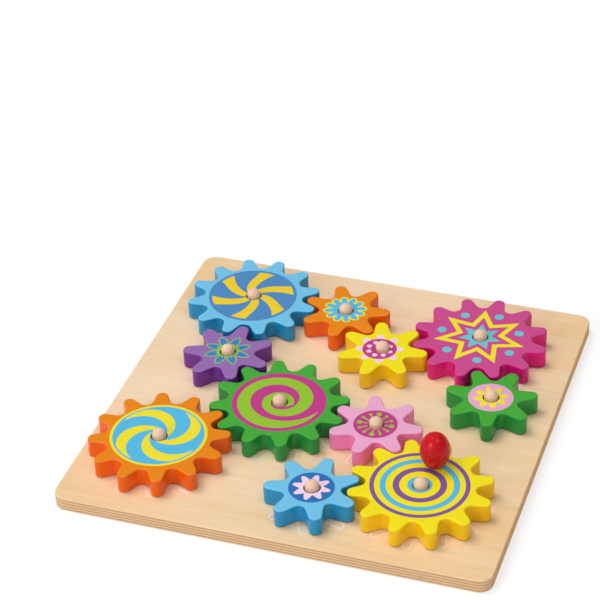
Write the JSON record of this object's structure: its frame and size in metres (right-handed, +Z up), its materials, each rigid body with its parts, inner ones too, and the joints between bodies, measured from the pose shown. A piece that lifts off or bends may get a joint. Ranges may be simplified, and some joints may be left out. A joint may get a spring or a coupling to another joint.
{
  "type": "wooden crank gear toy",
  "caption": "Square plywood board carrying meshed painted wooden gears on pegs, all turned together by a knob on one large gear.",
  "frame": {"origin": "centre of the plywood board's underside", "axes": "+Z up, square to the board; +X to the right along the board's front edge; +Y towards the back. The crank gear with the knob stands at the front right (+X, -Y)."},
  "size_m": [0.3, 0.3, 0.0505],
  "materials": {
    "birch_plywood": "birch plywood, clear lacquer",
    "beech_peg": "sanded beech",
    "yellow_paint": "yellow water-based paint, satin",
    "green_paint": "green water-based paint, satin",
    "orange_paint": "orange water-based paint, satin",
    "blue_paint": "light blue water-based paint, satin",
    "pink_paint": "pink water-based paint, satin",
    "purple_paint": "purple water-based paint, satin",
    "magenta_paint": "magenta water-based paint, satin",
    "red_gloss_paint": "red gloss paint",
    "screw_steel": "zinc-plated steel"
  },
  "bodies": {
    "base": {"board": "birch_plywood", "crank_peg": "beech_peg", "small_pink_peg": "beech_peg", "large_green_peg": "beech_peg", "small_blue_peg": "beech_peg", "large_orange_peg": "beech_peg", "small_purple_peg": "beech_peg", "large_blue_peg": "beech_peg", "small_orange_peg": "beech_peg", "small_yellow_peg": "beech_peg", "large_magenta_peg": "beech_peg", "small_green_peg": "beech_peg"},
    "crank_gear": {"crank_gear": "yellow_paint"},
    "small_pink_gear": {"small_pink_gear": "pink_paint"},
    "large_green_gear": {"large_green_gear": "green_paint"},
    "small_blue_gear": {"small_blue_gear": "blue_paint"},
    "large_orange_gear": {"large_orange_gear": "orange_paint"},
    "small_purple_gear": {"small_purple_gear": "purple_paint"},
    "large_blue_gear": {"large_blue_gear": "blue_paint"},
    "small_orange_gear": {"small_orange_gear": "orange_paint"},
    "small_yellow_gear": {"small_yellow_gear": "yellow_paint"},
    "large_magenta_gear": {"large_magenta_gear": "magenta_paint"},
    "small_green_gear": {"small_green_gear": "green_paint"},
    "knob": {"crank_knob": "red_gloss_paint", "knob_screw": "screw_steel"}
  },
  "joints": [
    {"name": "crank_turn", "type": "hinge", "parent": "base", "child": "crank_gear", "pos_m": [0.0869, -0.0862, 0.01715], "axis": [0, 0, 1], "continuous": true},
    {"name": "small_pink_turn", "type": "hinge", "parent": "base", "child": "small_pink_gear", "pos_m": [0.04023, -0.0327, 0.01715], "axis": [0, 0, 1], "continuous": true},
    {"name": "large_green_turn", "type": "hinge", "parent": "base", "child": "large_green_gear", "pos_m": [-0.03057, -0.02737, 0.01715], "axis": [0, 0, 1], "continuous": true},
    {"name": "small_blue_turn", "type": "hinge", "parent": "base", "child": "small_blue_gear", "pos_m": [0.01941, -0.10826, 0.01715], "axis": [0, 0, 1], "continuous": true},
    {"name": "large_orange_turn", "type": "hinge", "parent": "base", "child": "large_orange_gear", "pos_m": [-0.09669, -0.08545, 0.01715], "axis": [0, 0, 1], "continuous": true},
    {"name": "small_purple_turn", "type": "hinge", "parent": "base", "child": "small_purple_gear", "pos_m": [-0.08496, 0.01826, 0.01715], "axis": [0, 0, 1], "continuous": true},
    {"name": "large_blue_turn", "type": "hinge", "parent": "base", "child": "large_blue_gear", "pos_m": [-0.09041, 0.08906, 0.01715], "axis": [0, 0, 1], "continuous": true},
    {"name": "small_orange_turn", "type": "hinge", "parent": "base", "child": "small_orange_gear", "pos_m": [-0.01941, 0.0893, 0.01715], "axis": [0, 0, 1], "continuous": true},
    {"name": "small_yellow_turn", "type": "hinge", "parent": "base", "child": "small_yellow_gear", "pos_m": [0.0195, 0.05186, 0.01715], "axis": [0, 0, 1], "continuous": true},
    {"name": "large_magenta_turn", "type": "hinge", "parent": "base", "child": "large_magenta_gear", "pos_m": [0.08253, 0.08453, 0.01715], "axis": [0, 0, 1], "continuous": true},
    {"name": "small_green_turn", "type": "hinge", "parent": "base", "child": "small_green_gear", "pos_m": [0.1074, 0.01803, 0.01715], "axis": [0, 0, 1], "continuous": true},
    {"name": "knob_spin", "type": "hinge", "parent": "crank_gear", "child": "knob", "pos_m": [0.09031, -0.06416, 0.034], "axis": [0, 0, 1], "continuous": true}
  ],
  "couplings": [
    {"joint": "small_pink_turn", "follows": "crank_turn", "ratio": -1.7143},
    {"joint": "large_green_turn", "follows": "crank_turn", "ratio": 1},
    {"joint": "small_blue_turn", "follows": "crank_turn", "ratio": -1.7143},
    {"joint": "large_orange_turn", "follows": "crank_turn", "ratio": -1},
    {"joint": "small_purple_turn", "follows": "crank_turn", "ratio": -1.7143},
    {"joint": "large_blue_turn", "follows": "crank_turn", "ratio": 1},
    {"joint": "small_orange_turn", "follows": "crank_turn", "ratio": -1.7143},
    {"joint": "small_yellow_turn", "follows": "crank_turn", "ratio": 1.7143},
    {"joint": "large_magenta_turn", "follows": "crank_turn", "ratio": -1},
    {"joint": "small_green_turn", "follows": "crank_turn", "ratio": 1.7143}
  ]
}
